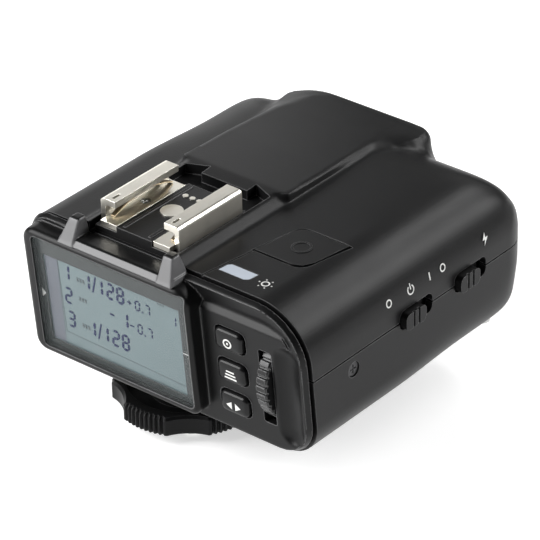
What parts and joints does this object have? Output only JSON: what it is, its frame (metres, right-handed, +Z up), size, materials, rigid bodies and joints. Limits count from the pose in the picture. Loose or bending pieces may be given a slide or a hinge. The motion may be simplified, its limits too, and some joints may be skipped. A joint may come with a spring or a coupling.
{
  "type": "wireless flash trigger",
  "caption": "Shoe-mounted radio flash trigger with a slanted display, three keys, a select dial, a flash shoe on top and a locking foot below.",
  "frame": {"origin": "centre of the foot's underside, on the axis of the stem and lock ring", "axes": "+X to the user's right, +Y away from the user and towards the subject, +Z up"},
  "size_m": [0.0748, 0.0826, 0.0533],
  "materials": {
    "case_black": "fine satin texture, near black",
    "panel_black": "smooth satin, near black",
    "guard_grey": "smooth satin, dark grey",
    "window_clear": "clear, polished",
    "window_print": "dark grey print behind the window",
    "display": "pale blue-green liquid crystal panel",
    "white_plastic": "white moulding",
    "shoe_steel": "nickel-plated steel sheet, slightly warm",
    "spring_steel": "bright spring steel",
    "contact_metal": "nickel plated",
    "gold": "gold plated",
    "screw_steel": "zinc-plated steel",
    "screw_black": "blackened steel",
    "status_lens": "milky translucent",
    "led": "clear epoxy",
    "button_black": "smooth satin, near black",
    "key_black": "satin rubber",
    "switch_grey": "moulded switch bodies",
    "board_green": "solder-masked circuit board",
    "chip_black": "moulded epoxy",
    "dial_black": "satin black, ribbed",
    "axle_steel": "ground steel",
    "encoder_blue": "blue moulding",
    "cell_label": "plain wrapped cells",
    "foot_metal": "machined, satin",
    "nut_brass": "turned",
    "port_steel": "drawn steel shell",
    "lamp_red": "dark red, polished"
  },
  "bodies": {
    "housing": {"upper_shell": "case_black", "lower_shell": "case_black", "front_panel": "panel_black", "shoe_guard": "guard_grey", "display_window": "window_clear", "window_border": "window_print", "display_glass": "display", "display_frame": "white_plastic", "display_backlight": "white_plastic", "shoe_rails": "shoe_steel", "shoe_base": "case_black", "shoe_springs": "spring_steel", "shoe_contacts": "contact_metal", "shoe_screws": "screw_steel", "status_window": "status_lens", "status_led": "led", "test_switch": "switch_grey", "key_switches": "switch_grey", "key_board": "board_green", "dial_axle": "axle_steel", "dial_encoder": "encoder_blue", "power_switch": "switch_grey", "lamp_switch": "switch_grey", "main_board": "board_green", "radio_module": "board_green", "antenna": "gold", "microchips": "chip_black", "battery_tray": "case_black", "battery_cells": "cell_label", "battery_springs": "spring_steel", "battery_plates": "contact_metal", "foot_plate": "foot_metal", "foot_nut": "nut_brass", "contact_block": "chip_black", "contact_springs": "spring_steel", "sync_socket": "chip_black", "usb_port": "port_steel", "lamp_lens": "lamp_red", "lamp_led": "led", "side_screws": "screw_black", "case_screws": "screw_steel"},
    "test_button": {"test_button": "button_black"},
    "key_top": {"key_top": "key_black"},
    "key_middle": {"key_middle": "key_black"},
    "key_bottom": {"key_bottom": "key_black"},
    "select_dial": {"select_dial": "dial_black"},
    "power_slider": {"power_slider": "button_black"},
    "lamp_slider": {"lamp_slider": "button_black"},
    "battery_door": {"battery_door": "case_black"},
    "friction_plate": {"friction_plate": "dial_black"},
    "lock_ring": {"lock_ring": "dial_black"},
    "contact_pins": {"contact_pins": "gold"}
  },
  "joints": [
    {"name": "test_press", "type": "slide", "parent": "housing", "child": "test_button", "axis": [0, 0, -1], "range_m": [0, 0.0006], "stiffness_N_per_m": 1500},
    {"name": "key_top_press", "type": "slide", "parent": "housing", "child": "key_top", "axis": [0, 0.9959, 0.0906], "range_m": [0, 0.0005], "stiffness_N_per_m": 1500},
    {"name": "key_middle_press", "type": "slide", "parent": "housing", "child": "key_middle", "axis": [0, 0.9959, 0.0906], "range_m": [0, 0.0005], "stiffness_N_per_m": 1500},
    {"name": "key_bottom_press", "type": "slide", "parent": "housing", "child": "key_bottom", "axis": [0, 0.9959, 0.0906], "range_m": [0, 0.0005], "stiffness_N_per_m": 1500},
    {"name": "dial_turn", "type": "hinge", "parent": "housing", "child": "select_dial", "pos_m": [0.0355, -0.00771, 0.0271], "axis": [1, 0, 0], "continuous": true},
    {"name": "power_slide", "type": "slide", "parent": "housing", "child": "power_slider", "axis": [0, 1, 0], "range_m": [0, 0.0036]},
    {"name": "lamp_slide", "type": "slide", "parent": "housing", "child": "lamp_slider", "axis": [0, 1, 0], "range_m": [0, 0.0036]},
    {"name": "clamp_lift", "type": "slide", "parent": "housing", "child": "friction_plate", "axis": [0, 0, 1], "range_m": [0, 0.003]},
    {"name": "ring_turn", "type": "hinge", "parent": "friction_plate", "child": "lock_ring", "pos_m": [0, 0, 0.003], "axis": [0, 0, 1], "range_deg": [0, 720]},
    {"name": "pin_press", "type": "slide", "parent": "housing", "child": "contact_pins", "axis": [0, 0, 1], "range_m": [0, 0.0006], "stiffness_N_per_m": 400, "deforming": ["contact_springs"]},
    {"name": "door_slide", "type": "slide", "parent": "housing", "child": "battery_door", "axis": [0, 1, 0], "range_m": [0, 0.042]}
  ],
  "couplings": [
    {"joint": "clamp_lift", "follows": "ring_turn", "m_per_rad": 0.00023873}
  ]
}
